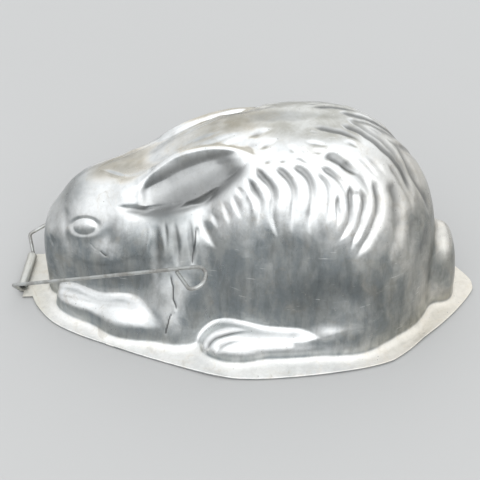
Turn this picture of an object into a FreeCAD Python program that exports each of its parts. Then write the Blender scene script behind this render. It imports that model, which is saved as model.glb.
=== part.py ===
"""Jelly mould: a thin sheet pressing in the form of a crouching rabbit, open underneath,
with a flat rim all round and a rolled tab at the nose. One bent wire turns in the roll and
swings out as a stand for the nose end when the mould is filled upside down.

Frame: millimetres, +Z up, the mould lying open side down on its rim. The origin is on the
rim's resting plane, in the middle of the box of the whole object. The nose points along -X.
"""
import FreeCAD, Part
import math
import os
import Sketcher
from FreeCAD import Placement, Rotation, Vector

os.makedirs("parts", exist_ok=True)
doc = FreeCAD.newDocument("jelly_mould")

# ---------------------------------------------------------------- driving dimensions (mm)
sheet = doc.addObject("Spreadsheet::Sheet", "dims")
DIMS = [
    ("sheet_thick", 0.9, "thickness of the pressed sheet"),
    ("rim_length", 229.0, "rim, front edge of the tab to the tail point"),
    ("rim_width", 139.6, "rim, across the hind feet"),
    ("form_length", 205.0, "pressed form, nose to tail"),
    ("form_width", 123.0, "pressed form, across the hind feet"),
    ("form_height", 99.96, "top of the back above the resting plane"),
    ("shift_x", 2.21, "puts the origin in the middle of the object's box"),
    ("roll_bore", 3.0, "inside diameter of the rolled tab"),
    ("roll_len", 26.4, "length of the rolled tab"),
    ("roll_x", -115.6, "roll axis, before the shift"),
    ("roll_open", 65.0, "angle of the roll left open, degrees"),
    ("wire_dia", 1.8, "wire of the stand"),
    ("crank_half", 14.6, "half width of the stand inside the roll"),
    ("corner_x", -117.7, "corner between crank and leg, before the shift"),
    ("corner_y", 20.4, "the same corner, sideways"),
    ("corner_z", 10.75, "the same corner, height above the resting plane"),
    ("foot_x", -23.0, "end of the straight leg, before the shift"),
    ("foot_y", 55.3, "the same end, sideways"),
    ("foot_z", 55.4, "the same end, height"),
    ("bend_rad", 2.2, "radius of the wire's bends"),
    ("loop_big", 9.0, "first radius of the foot loop"),
    ("loop_small", 4.4, "second radius of the foot loop"),
    ("loop_reach", 8.9, "foot loop beyond the end of the leg"),
    ("columns", 75, "cross sections between head and tail"),
    ("rows", 58, "points of each cross section"),
    ("fan_lines", 20, "sections round each half of the nose and of the tail"),
]
for row, (name, value, note) in enumerate(DIMS, start=1):
    sheet.set("A%d" % row, name)
    sheet.set("B%d" % row, str(value))
    sheet.set("C%d" % row, note)
    sheet.setAlias("B%d" % row, name)
doc.recompute()


def dim(name):
    return float(getattr(sheet, name))


THK = dim("sheet_thick")
SHIFT = dim("shift_x")
SX = dim("form_length") / 205.0
SY = dim("form_width") / 123.0
SZ = dim("form_height") / 99.96


# ---------------------------------------------------------------- the pressed form
# The form is a blend of rounded lumps. Each lump gives the distance of a point from its
# skin, and neighbouring lumps run into one another with a fillet.
def lump(x, y, z, a, b, c, n):
    u, v, w = abs(x) / a, abs(y) / b, abs(z) / c
    un, vn, wn = u ** (n - 1), v ** (n - 1), w ** (n - 1)
    s = un * u + vn * v + wn * w + 1e-9
    g = s ** (1.0 / n)
    k = g / s
    return (g - 1) / (k * math.sqrt((un / a) ** 2 + (vn / b) ** 2 + (wn / c) ** 2) + 1e-6)


def skirted(x, y, z, a, b, c, n, base=-14.0, draft=0.16, w=10.0):
    """A lump centred below the resting plane, whose walls spread a little towards it."""
    q = 7.0 - z
    s = 1 + draft * 0.5 * (q + math.sqrt(q * q + w * w)) / min(a, b)
    return lump(x / s, y / s, max(z - base, 0.0), a, b, c, n)


def standing(x, y, dz, a, b, c, n, draft=0.14, w=6.0):
    """A lump that stands on a drafted skirt, so that nothing is undercut."""
    q = math.sqrt(dz * dz + w * w)
    up = 0.5 * (dz + q) - 0.5 * w * math.exp(-0.5 * (dz / w) ** 2)
    s = 1 + draft * 0.5 * (q - dz) / min(a, b)
    return lump(x / s, y / s, max(up, 0.0), a, b, c, n)


def blend(p, q, k):
    d = k - abs(p - q)
    m = p if p < q else q
    return m - d * d / (4 * k) if d > 0 else m


EAR_YAW, EAR_PITCH, EAR_ROLL = 0.019, 0.52, 0.978
_cy, _sy = math.cos(EAR_YAW), math.sin(EAR_YAW)
_cp, _sp = math.cos(EAR_PITCH), math.sin(EAR_PITCH)
_cr, _sr = math.cos(EAR_ROLL), math.sin(EAR_ROLL)


def ear(x, y, z):
    """Distance from one ear, and how far the point is into its root, 0 to 1."""
    x, y, z = x + 28.2, y - 17.8, z - 76.5
    u = x * _cy * _cp + y * _sy * _cp + z * _sp
    va = -x * _sy + y * _cy
    vb = -x * _cy * _sp - y * _sy * _sp + z * _cp
    t = u / 31.9
    w = va * _cr - vb * _sr - 2.75 * (t * t - 0.4)
    root = min(max((-6 - u) / 20.0, 0.0), 1.0)
    root = (root * root * (3 - 2 * root) * min(max((u + 52) / 20.0, 0.0), 1.0)
            * min(max((7 - w) / 14.0, 0.0), 1.0))
    return lump(u, w, va * _sr + vb * _cr, 31.9, 11.55, 4.7, 1.65), root


_fa = math.atan2(14.0, 40.0)
FLC, FLS = math.cos(_fa), math.sin(_fa)
FTC, FTS = math.cos(-0.09), math.sin(-0.09)


def form(x, y, z):
    """Distance of a point from the outside of the form; negative inside."""
    x, y, z = x / SX, y / SY, z / SZ
    y = math.sqrt(y * y + 0.3)
    # haunch and back, shoulders, neck, rump, spine
    f = blend(skirted(x - 25.72, y, z, 63.8, 49.95, 113.97, 2.545, -14.0, 0.173),
              skirted(x + 33.0, y, z, 33.0, 51.3, 82.3, 2.0), 10)
    f = blend(f, standing(x + 30.0, y, z - 30, 25.0, 35.5, 45.5, 2.2, 0.1), 8)
    f = blend(f, standing(x - 56.4, y, z - 37.7, 30.8, 26.1, 42.0, 2.2, 0.0), 12)
    t = min(max(((x + 56) * 62 + (z - 56) * 26) / 4520.0, 0.0), 1.0)
    px, pz = x + 56 - 62 * t, z - 56 - 26 * t
    f = blend(f, math.sqrt(px * px + y * y + pz * pz) - (12.7 + 2 * t), 8)
    # head: skull, muzzle, cheek, jowl
    h = blend(standing(x + 57.9, y, z - 31.3, 40.5, 28.5, 39.4, 2.05, 0.0),
              standing(x + 87.0, y, z - 2.4, 13.55, 15.9, 39.2, 4.0, 0.06), 13)
    h = blend(h, standing(x + 63, y - 15, z - 26, 16, 14.5, 20, 2.1), 7)
    h = blend(h, standing(x + 52, y, z - 30, 23.0, 32.5, 41.0, 2.2, 0.0), 8)
    f = blend(f, h, 6)
    # foreleg and elbow
    u, v = (x + 64.6) * FLC + (y - 27.9) * FLS, -(x + 64.6) * FLS + (y - 27.9) * FLC
    g = blend(standing(u, v, z - 5, 31.0, 13.2, 10.0, 2.9),
              standing(x + 52.0, y - 33.5, z - 2, 18.0, 13.3, 16.0, 2.4, 0.45), 8)
    f = blend(f, g, 3)
    # hock, hind foot and toes
    f = blend(f, standing(x - 44.3, y - 34.9, z - 8, 21.0, 19.2, 24.0, 2.1, 0.12), 9)
    u, v = (x - 15.0) * FTC + (y - 47.6) * FTS, -(x - 15.0) * FTS + (y - 47.6) * FTC
    g = blend(standing(u, v, z - 2, 36.5, 10.4, 11.5, 2.6),
              standing(x + 5.3, y - 48.8, z - 3, 14.0, 12.0, 11.5, 2.2), 5)
    f = blend(f, g, 3)
    # tail
    f = blend(f, skirted(x - 93.5, y, z, 9.9, 16.5, 46.2, 2.6, -8.0, 0.0), 7)
    # nape, filling the space between the ears
    u = (x + 28.2) * _cp + (z - 76.5) * _sp
    v = -(x + 28.2) * _sp + (z - 76.5) * _cp
    f = blend(f, lump(u - 3, y, v + 1, 31.0, 14.5, 10.8, 2.6), 5)
    e, root = ear(x, y, z)
    return blend(f, e, 2.5 + 8.0 * root)


def height(x, y, level, floor):
    """Topmost point of the form's skin, pushed in by -level, over a point of the plan."""
    z, last = 104.0, 104.0
    f = form(x, y, z) - level
    while f > 0:
        last = z
        z -= max(0.9 * f, 0.5)
        if z < floor:
            return floor
        f = form(x, y, z) - level
    lo, hi = z, last
    for _ in range(11):
        mid = 0.5 * (lo + hi)
        if form(x, y, mid) > level:
            hi = mid
        else:
            lo = mid
    return max(0.5 * (lo + hi), floor)


def section(mx, dx, dy, level, base, count):
    """Skin of the form over a straight line in plan, from the midline point mx outwards
    along (dx, dy) down to the plane z = base, as evenly spaced points."""
    r = 92.0
    while form(mx + r * dx, r * dy, base) - level > 0:
        r -= max(0.8 * (form(mx + r * dx, r * dy, base) - level), 0.25)
    lo, hi = r, r + 2.0
    while form(mx + hi * dx, hi * dy, base) - level < 0:
        hi += 1.0
    for _ in range(22):
        mid = 0.5 * (lo + hi)
        if form(mx + mid * dx, mid * dy, base) > level:
            hi = mid
        else:
            lo = mid
    edge = 0.5 * (lo + hi)
    steps = int(edge / 0.6)
    line = [(r, height(mx + r * dx, r * dy, level, base + 0.4))
            for r in (edge * i / steps for i in range(steps))]
    line.append((edge, base))
    dist = [0.0]
    for (r0, z0), (r1, z1) in zip(line, line[1:]):
        dist.append(dist[-1] + math.hypot(r1 - r0, z1 - z0))
    pts, k = [], 0
    for i in range(count):
        want = dist[-1] * i / (count - 1)
        while k < len(dist) - 2 and dist[k + 1] < want:
            k += 1
        t = min(max((want - dist[k]) / (dist[k + 1] - dist[k]), 0.0), 1.0)
        r = line[k][0] + t * (line[k + 1][0] - line[k][0])
        z = line[k][1] + t * (line[k + 1][1] - line[k][1])
        pts.append(Vector(mx + SHIFT + r * dx, r * dy, z))
    return pts


def patch(grid):
    """Smooth surface controlled by a grid of points, with edges through its corners."""
    def knots(n):
        k = list(range(n - 2))
        return [float(v) for v in k], [4] + [1] * (n - 4) + [4]
    uk, um = knots(len(grid))
    vk, vm = knots(len(grid[0]))
    surf = Part.BSplineSurface()
    surf.buildFromPolesMultsKnots(grid, um, vm, uk, vk, False, False, 3, 3)
    return surf


NOSE, TAIL = -72.0, 76.0
ROWS = int(dim("rows"))
ACROSS = int(dim("columns"))
FAN = int(dim("fan_lines"))


def mirrored(line):
    return [Vector(p.x, -p.y, p.z) for p in line]


def skin(level, base):
    """The four patches of a skin and their edges in the base plane."""
    near = [section(NOSE + (TAIL - NOSE) * i / (ACROSS - 1), 0.0, -1.0, level, base, ROWS)
            for i in range(ACROSS)]
    nose = [near[0]] + [section(NOSE, -math.sin(a), -math.cos(a), level, base, ROWS)
                        for a in (0.5 * math.pi * i / FAN for i in range(1, FAN + 1))]
    tail = [near[-1]] + [section(TAIL, math.sin(a), -math.cos(a), level, base, ROWS)
                         for a in (0.5 * math.pi * i / FAN for i in range(1, FAN + 1))]
    far = [mirrored(c) for c in near]
    nose += [mirrored(c) for c in nose[-2::-1]]
    tail += [mirrored(c) for c in tail[-2::-1]]
    faces, rim = [], []
    for grid in (near, nose, far, tail):
        face = patch(grid).toShape()
        faces.append(face)
        flat = [e for e in face.Edges if e.Length > 1 and abs(e.BoundBox.ZMin - base) < 1e-6
                and abs(e.BoundBox.ZMax - base) < 1e-6]
        rim.append(flat[0])
    return faces, rim


# ---------------------------------------------------------------- rim outline, cut by hand
RIM = [(-114.9, 0), (-114.9, -15.0), (-114.9, -17.6), (-109.8, -17.2), (-106.4, -23.5),
       (-99.7, -31.9), (-92.1, -38.1), (-81.2, -44.0), (-70.8, -48.4), (-58.4, -53.4),
       (-45.7, -58.0), (-33.3, -62.3), (-21.4, -66.4), (-16.7, -67.9), (-8.0, -69.5), (-0.3, -69.8),
       (11.2, -69.1), (23.0, -67.6), (34.3, -65.8), (44.0, -63.8), (53.1, -61.5), (62.0, -58.7),
       (67.6, -56.3), (70.6, -54.4), (77.9, -47.9), (85.8, -39.4), (94.7, -30.1), (102.8, -20.5),
       (109.3, -11.4), (113.2, -5.0), (114.1, -2.0)]
far_side = [(-110.0, 16.0) if p == (-109.8, -17.2) else ((-114.9, 16.0) if p == (-114.9, -17.6)
            else (p[0], -p[1])) for p in RIM[1:]]
OUTLINE = RIM + far_side[::-1]
RX, RY = dim("rim_length") / 229.0, dim("rim_width") / 139.6

rim_sketch = doc.addObject("Sketcher::SketchObject", "rim_outline")
pts = [Vector(p[0] * RX + SHIFT, p[1] * RY, 0) for p in OUTLINE]
rim_sketch.addGeometry([Part.LineSegment(pts[i], pts[(i + 1) % len(pts)]) for i in range(len(pts))], False)
rim_sketch.addConstraint([Sketcher.Constraint("Coincident", i, 2, (i + 1) % len(pts), 1)
                          for i in range(len(pts))])
doc.recompute()

# ---------------------------------------------------------------- the pressing as one closed skin
out_faces, out_rim = skin(0.0, THK)
in_faces, in_rim = skin(-THK, 0.0)
low = rim_sketch.Shape.Wires[0]
high = low.translated(Vector(0, 0, THK))
plates = [Part.makeFace([high, Part.Wire(Part.__sortEdges__(out_rim))], "Part::FaceMakerBullseye"),
          Part.makeFace([low, Part.Wire(Part.__sortEdges__(in_rim))], "Part::FaceMakerBullseye")]
edge_faces = low.extrude(Vector(0, 0, THK)).Faces
faces = out_faces + in_faces + edge_faces + [f for p in plates for f in p.Faces]
closed = Part.Shell(faces)
closed.sewShape()
pressing = Part.Solid(closed)
if pressing.Volume < 0:
    pressing.reverse()
pressed = doc.addObject("Part::Feature", "pressed_sheet")
pressed.Shape = pressing


def origin_plane(body, role):
    return next(o for o in body.Origin.OriginFeatures if o.Role == role)


# ---------------------------------------------------------------- rolled tab
roll_body = doc.addObject("PartDesign::Body", "rolled_tab")
roll_sketch = roll_body.newObject("Sketcher::SketchObject", "roll_profile")
roll_sketch.AttachmentSupport = (origin_plane(roll_body, "XZ_Plane"), "")
roll_sketch.MapMode = "FlatFace"
ri = dim("roll_bore") / 2
ro = ri + THK
cx, cz = dim("roll_x") + SHIFT, THK + ri
a_end = math.radians(dim("roll_open") - 90)
ctr = Vector(cx, cz, 0)


def on(rad, ang):
    return Vector(cx + rad * math.cos(ang), cz + rad * math.sin(ang), 0)


mid = 0.5 * (a_end + 1.5 * math.pi)
tail_in, tail_out = Vector(-108.0 + SHIFT, THK, 0), Vector(-108.0 + SHIFT, 0, 0)
profile = [
    Part.Arc(on(ri, a_end), on(ri, mid), on(ri, 1.5 * math.pi)),
    Part.LineSegment(on(ri, 1.5 * math.pi), tail_in),
    Part.LineSegment(tail_in, tail_out),
    Part.LineSegment(tail_out, on(ro, 1.5 * math.pi)),
    Part.Arc(on(ro, 1.5 * math.pi), on(ro, mid), on(ro, a_end)),
    Part.LineSegment(on(ro, a_end), on(ri, a_end)),
]
roll_sketch.addGeometry(profile, False)
roll_pad = roll_body.newObject("PartDesign::Pad", "roll_pad")
roll_pad.Profile = roll_sketch
roll_pad.setExpression("Length", "dims.roll_len")
roll_pad.Midplane = True
doc.recompute()

# ---------------------------------------------------------------- the pressing as one piece
mould = doc.addObject("Part::Fuse", "mould_shell")
mould.Label = "mould_shell"
mould.Base = pressed
mould.Tool = roll_body

# ---------------------------------------------------------------- wire stand
rw = dim("wire_dia") / 2
axis_z = THK + ri
hinge = Vector(dim("roll_x") + SHIFT, 0, axis_z)


def mirror(p):
    return Vector(p.x, -p.y, p.z)


p1 = Vector(hinge.x, -dim("crank_half"), axis_z)
p2 = Vector(dim("corner_x") + SHIFT, -dim("corner_y"), dim("corner_z"))
p3 = Vector(dim("foot_x") + SHIFT, -dim("foot_y"), dim("foot_z"))
along = (p3 - p2).normalize()
side = (Vector(0, -1, 0) - along * Vector(0, -1, 0).dot(along)).normalize()
reach, rb, rs = dim("loop_reach"), dim("loop_big"), dim("loop_small")


def leg_plane(u, v):
    return p3 + along * u + side * v


# line back from the loop's apex, at 45 degrees to the leg
c2u, c2v = reach - rs, rb + 0.08
back_start = (c2u - rs * math.sin(math.pi / 4), c2v + rs * math.cos(math.pi / 4))
gap = 2 * rw + 0.35
back_len = (back_start[1] - gap) / math.sin(math.pi / 4)
back_end = (back_start[0] - back_len * math.cos(math.pi / 4), gap)


def fillet(prev, corner, nxt, rad):
    """Tangent arc round a corner: its start, middle and end."""
    a, b = (prev - corner).normalize(), (nxt - corner).normalize()
    half = math.acos(max(-1, min(1, a.dot(b)))) / 2
    t = rad / math.tan(half)
    bis = (a + b).normalize()
    c = corner + bis * (rad / math.sin(half))
    return corner + a * t, c - bis * rad, corner + b * t


def half_path():
    """Edges from the free end of the near loop to the middle of the roll."""
    s0 = leg_plane(*back_end)
    s1 = leg_plane(*back_start)
    m2 = math.radians(135 / 2.0)
    arc2_mid = leg_plane(c2u + rs * math.cos(m2), c2v + rs * math.sin(m2))
    arc2_end = leg_plane(reach, c2v)
    arc1_start = leg_plane(reach, rb)
    arc1_mid = leg_plane(reach - rb + rb * math.sin(math.pi / 4), rb - rb * math.cos(math.pi / 4))
    arc1_end = leg_plane(reach - rb, 0)
    f2 = fillet(arc1_end, p2, p1, dim("bend_rad"))
    f1 = fillet(p2, p1, Vector(p1.x, 0, p1.z), dim("bend_rad"))
    return [
        Part.LineSegment(s0, s1), Part.Arc(s1, arc2_mid, arc2_end),
        Part.LineSegment(arc2_end, arc1_start), Part.Arc(arc1_start, arc1_mid, arc1_end),
        Part.LineSegment(arc1_end, f2[0]), Part.Arc(*f2),
        Part.LineSegment(f2[2], f1[0]), Part.Arc(*f1),
    ], f1[2]


near, roll_end = half_path()
edges = [g.toShape() for g in near]
edges.append(Part.makeLine(roll_end, mirror(roll_end)))
for g in reversed(near):
    e = g.toShape()
    a, b = e.firstVertex().Point, e.lastVertex().Point
    m = e.valueAt(0.5 * (e.FirstParameter + e.LastParameter))
    if isinstance(g, Part.LineSegment):
        edges.append(Part.makeLine(mirror(b), mirror(a)))
    else:
        edges.append(Part.Arc(mirror(b), mirror(m), mirror(a)).toShape())

wire_path = doc.addObject("Part::Feature", "wire_path")
wire_path.Shape = Part.Wire(edges)
start = leg_plane(*back_end)
direction = (leg_plane(*back_start) - start).normalize()
section = doc.addObject("Part::Circle", "wire_section")
section.setExpression("Radius", "dims.wire_dia / 2")
section.Placement = Placement(start, Rotation(Vector(0, 0, 1), direction))
stand = doc.addObject("Part::Sweep", "wire_stand")
stand.Label = "wire_stand"
stand.Sections = [section]
stand.Spine = (wire_path, ["Edge%d" % (i + 1) for i in range(len(edges))])
stand.Solid = True
stand.Frenet = False
stand.Transition = "Right corner"
doc.recompute()

# ---------------------------------------------------------------- checks and files
for obj in doc.Objects:
    bad = [s for s in obj.State if s in ("Invalid", "Error")]
    if bad:
        raise RuntimeError("%s: %s" % (obj.Name, bad))
length = wire_path.Shape.Length
print("hinge at", [round(c, 3) for c in hinge], "wire length", round(length, 1),
      "volume ratio", round(stand.Shape.Volume / (math.pi * rw * rw * length), 4))
for obj in (mould, stand):
    shape = obj.Shape
    if shape.isNull() or not shape.isValid() or len(shape.Solids) != 1:
        raise RuntimeError("%s: bad shape, %d solids" % (obj.Label, len(shape.Solids)))
    bb = shape.BoundBox
    print(obj.Label, "volume", round(shape.Volume, 1), "box",
          [round(c, 2) for c in (bb.XMin, bb.YMin, bb.ZMin, bb.XMax, bb.YMax, bb.ZMax)])
    shape.exportStep("parts/%s.step" % obj.Label)
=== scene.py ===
import math

import bpy
import numpy as np
from mathutils import Matrix, Vector


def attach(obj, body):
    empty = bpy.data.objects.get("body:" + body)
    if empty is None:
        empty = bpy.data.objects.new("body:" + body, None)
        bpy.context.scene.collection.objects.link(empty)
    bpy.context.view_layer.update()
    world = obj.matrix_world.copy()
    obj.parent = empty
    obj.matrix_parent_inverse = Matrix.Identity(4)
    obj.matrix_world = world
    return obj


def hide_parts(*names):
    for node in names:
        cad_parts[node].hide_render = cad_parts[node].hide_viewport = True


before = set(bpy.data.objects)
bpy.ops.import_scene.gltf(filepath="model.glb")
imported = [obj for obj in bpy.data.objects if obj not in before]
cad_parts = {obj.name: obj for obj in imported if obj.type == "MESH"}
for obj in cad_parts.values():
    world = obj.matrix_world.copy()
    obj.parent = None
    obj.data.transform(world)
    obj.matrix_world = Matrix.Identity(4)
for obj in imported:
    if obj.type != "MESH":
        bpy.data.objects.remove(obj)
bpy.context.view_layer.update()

# Everything below is worked out in millimetres, with the pressing where it was measured, and moved
# by SHIFT along x and scaled to metres when a mesh is made.
SHIFT = 2.21
THK = 0.9


# ------------------------------------------------------------------ the pressed form
# The same rounded lumps as the construction model. Each gives a point's distance from its skin.
def lump(x, y, z, a, b, c, n):
    u, v, w = np.abs(x) / a, np.abs(y) / b, np.abs(z) / c
    un, vn, wn = u ** (n - 1), v ** (n - 1), w ** (n - 1)
    s = un * u + vn * v + wn * w + 1e-9
    g = s ** (1.0 / n)
    k = g / s
    return (g - 1) / (k * np.sqrt((un / a) ** 2 + (vn / b) ** 2 + (wn / c) ** 2) + 1e-6)


def skirted(x, y, z, a, b, c, n, base=-14.0, draft=0.16, w=10.0):
    q = 7.0 - z
    s = 1 + draft * 0.5 * (q + np.sqrt(q * q + w * w)) / min(a, b)
    return lump(x / s, y / s, np.maximum(z - base, 0.0), a, b, c, n)


def standing(x, y, dz, a, b, c, n, draft=0.14, w=6.0):
    q = np.sqrt(dz * dz + w * w)
    up = 0.5 * (dz + q) - 0.5 * w * np.exp(-0.5 * (dz / w) ** 2)
    s = 1 + draft * 0.5 * (q - dz) / min(a, b)
    return lump(x / s, y / s, np.maximum(up, 0.0), a, b, c, n)


def blend(p, q, k):
    d = np.maximum(k - np.abs(p - q), 0.0)
    return np.minimum(p, q) - d * d / (4 * k)


CY, SY = math.cos(0.019), math.sin(0.019)
CP, SP = math.cos(0.52), math.sin(0.52)
CR, SR = math.cos(0.978), math.sin(0.978)


def ear_frame(x, y, z):
    """Along the ear, across it from the upper rim to the lower, and out of its face."""
    x, y, z = x + 28.2, y - 17.8, z - 76.5
    u = x * CY * CP + y * SY * CP + z * SP
    va = -x * SY + y * CY
    vb = -x * CY * SP - y * SY * SP + z * CP
    t = u / 31.9
    return u, va * CR - vb * SR - 2.75 * (t * t - 0.4), va * SR + vb * CR


FA = math.atan2(14.0, 40.0)
FLC, FLS = math.cos(FA), math.sin(FA)
FTC, FTS = math.cos(-0.09), math.sin(-0.09)


def form(x, y, z):
    y = np.sqrt(y * y + 0.3)
    f = blend(skirted(x - 25.72, y, z, 63.8, 49.95, 113.97, 2.545, -14.0, 0.173),
              skirted(x + 33.0, y, z, 33.0, 51.3, 82.3, 2.0), 10)
    f = blend(f, standing(x + 30.0, y, z - 30, 25.0, 35.5, 45.5, 2.2, 0.1), 8)
    f = blend(f, standing(x - 56.4, y, z - 37.7, 30.8, 26.1, 42.0, 2.2, 0.0), 12)
    t = np.clip(((x + 56) * 62 + (z - 56) * 26) / 4520.0, 0.0, 1.0)
    px, pz = x + 56 - 62 * t, z - 56 - 26 * t
    f = blend(f, np.sqrt(px * px + y * y + pz * pz) - (12.7 + 2 * t), 8)
    h = blend(standing(x + 57.9, y, z - 31.3, 40.5, 28.5, 39.4, 2.05, 0.0),
              standing(x + 87.0, y, z - 2.4, 13.55, 15.9, 39.2, 4.0, 0.06), 13)
    h = blend(h, standing(x + 63, y - 15, z - 26, 16, 14.5, 20, 2.1), 7)
    h = blend(h, standing(x + 52, y, z - 30, 23.0, 32.5, 41.0, 2.2, 0.0), 8)
    f = blend(f, h, 6)
    u, v = (x + 64.6) * FLC + (y - 27.9) * FLS, -(x + 64.6) * FLS + (y - 27.9) * FLC
    g = blend(standing(u, v, z - 5, 31.0, 13.2, 10.0, 2.9),
              standing(x + 52.0, y - 33.5, z - 2, 18.0, 13.3, 16.0, 2.4, 0.45), 8)
    f = blend(f, g, 3)
    f = blend(f, standing(x - 44.3, y - 34.9, z - 8, 21.0, 19.2, 24.0, 2.1, 0.12), 9)
    fu, fv = (x - 15.0) * FTC + (y - 47.6) * FTS, -(x - 15.0) * FTS + (y - 47.6) * FTC
    g = blend(standing(fu, fv, z - 2, 36.5, 10.4, 11.5, 2.6),
              standing(x + 5.3, y - 48.8, z - 3, 14.0, 12.0, 11.5, 2.2), 5)
    f = blend(f, g, 3)
    f = blend(f, skirted(x - 93.5, y, z, 9.9, 16.5, 46.2, 2.6, -8.0, 0.0), 7)
    # the nape fills the space between the two ears
    nu = (x + 28.2) * CP + (z - 76.5) * SP
    nv = -(x + 28.2) * SP + (z - 76.5) * CP
    f = blend(f, lump(nu - 3, y, nv + 1, 31.0, 14.5, 10.8, 2.6), 5)
    eu, ew, en = ear_frame(x, y, z)
    root = np.clip((-6 - eu) / 20.0, 0.0, 1.0)
    root = root * root * (3 - 2 * root) * np.clip((eu + 52) / 20.0, 0.0, 1.0) * np.clip((7 - ew) / 14.0, 0.0, 1.0)
    f = blend(f, lump(eu, ew, en, 31.9, 11.55, 4.7, 1.65), 2.5 + 8.0 * root)
    return blend(f, z - THK, 3.5)          # runs into the flat rim with a fillet


def heights(x, y):
    """Topmost point of the skin over each point of the plan."""
    z = np.full(x.shape, 104.0)
    last = z.copy()
    todo = np.arange(x.size)
    while todo.size:
        f = form(x[todo], y[todo], z[todo])
        out = f > 0
        todo = todo[out]
        last[todo] = z[todo]
        z[todo] = z[todo] - np.maximum(0.55 * f[out], 0.2)
    lo, hi = z, last
    for _ in range(10):
        mid = 0.5 * (lo + hi)
        up = form(x, y, mid) > 0
        hi = np.where(up, mid, hi)
        lo = np.where(up, lo, mid)
    return 0.5 * (lo + hi)


# ------------------------------------------------------------------ cut outline of the rim
RIM = [(-114.9, 0), (-114.9, -15.0), (-114.9, -17.6), (-109.8, -17.2), (-106.4, -23.5),
       (-99.7, -31.9), (-92.1, -38.1), (-81.2, -44.0), (-70.8, -48.4), (-58.4, -53.4),
       (-45.7, -58.0), (-33.3, -62.3), (-21.4, -66.4), (-16.7, -67.9), (-8.0, -69.5), (-0.3, -69.8),
       (11.2, -69.1), (23.0, -67.6), (34.3, -65.8), (44.0, -63.8), (53.1, -61.5), (62.0, -58.7),
       (67.6, -56.3), (70.6, -54.4), (77.9, -47.9), (85.8, -39.4), (94.7, -30.1), (102.8, -20.5),
       (109.3, -11.4), (113.2, -5.0), (114.1, -2.0), (114.1, 0)]
RIM_FAR = [(-110.0, -16.0) if p == (-109.8, -17.2) else ((-114.9, -16.0) if p == (-114.9, -17.6)
           else p) for p in RIM]
NOSE, TAIL = -72.0, 76.0


def reach(mx, dx, dy, line):
    """How far the outline is from the midline point (mx, 0) along (dx, dy)."""
    best = np.full(np.shape(dx), 1e9)
    for (x0, y0), (x1, y1) in zip(line, line[1:]):
        ex, ey = x1 - x0, y1 - y0
        det = dx * -ey + dy * ex
        det = np.where(np.abs(det) < 1e-9, 1e-9, det)
        r = ((x0 - mx) * -ey + y0 * ex) / det
        t = (dx * y0 - dy * (x0 - mx)) / det
        ok = (t > -1e-6) & (t < 1 + 1e-6) & (r > 0)
        best = np.where(ok & (r < best), r, best)
    return best


def snapped(values, marks):
    values = np.array(values)
    for m in marks:
        i = int(np.argmin(np.abs(values - m)))
        if 0 < i < len(values) - 1:
            values[i] = m
    return values


# ------------------------------------------------------------------ relief
# Fur, face and toes are laid out on one side view of the near half: a slanting projection with the
# scale of 1.93 units to a millimetre. The far half is its mirror image.
EYE = np.array((8.32, -375.51, 330.73))
FWD = np.array((-0.02793532, 0.77664372, -0.62932039))
RIGHT = np.array((0.99935373, 0.03594604, 0.0))
UP = np.array((-0.02262157, 0.62891368, 0.77714596))


def chart(p):
    q = p - EYE
    d = q @ FWD
    return np.stack([240 + 965 * (q @ RIGHT) / d, 240 - 965 * (q @ UP) / d], -1)


def smooth(a, b, x):
    t = np.clip((x - a) / (b - a), 0.0, 1.0)
    return t * t * (3 - 2 * t)


def spline(points, step=1.2):
    p = np.array(points, float)
    if len(p) < 3:
        n = max(2, int(np.linalg.norm(p[1] - p[0]) / step) + 1)
        return p[0] + (p[1] - p[0]) * np.linspace(0, 1, n)[:, None]
    q = np.vstack([2 * p[0] - p[1], p, 2 * p[-1] - p[-2]])
    out = []
    for i in range(1, len(q) - 2):
        n = max(1, int(np.linalg.norm(q[i + 1] - q[i]) / step))
        t = (np.arange(n) / n)[:, None]
        out.append(0.5 * (2 * q[i] + (q[i + 1] - q[i - 1]) * t
                          + (2 * q[i - 1] - 5 * q[i] + 4 * q[i + 1] - q[i + 2]) * t * t
                          + (3 * q[i] - q[i - 1] - 3 * q[i + 1] + q[i + 2]) * t ** 3))
    out.append(q[-2][None])
    return np.vstack(out)


def along(uv, points):
    """Distance of each point from a curve, how far along it is, 0 to 1, and on which side."""
    s = spline(points)
    a, b = s[:-1], s[1:]
    ab = b - a
    ll = (ab * ab).sum(1) + 1e-9
    cum = np.concatenate([[0], np.cumsum(np.sqrt(ll))])
    best = np.full(len(uv), 1e9)
    pos = np.zeros(len(uv))
    side = np.zeros(len(uv))
    for i in range(len(a)):
        t = np.clip(((uv - a[i]) @ ab[i]) / ll[i], 0, 1)
        d = uv - a[i] - t[:, None] * ab[i]
        d2 = (d * d).sum(1)
        m = d2 < best
        best[m] = d2[m]
        pos[m] = cum[i] + t[m] * (cum[i + 1] - cum[i])
        side[m] = (ab[i, 0] * d[:, 1] - ab[i, 1] * d[:, 0])[m]
    return np.sqrt(best), pos / cum[-1], side


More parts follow.
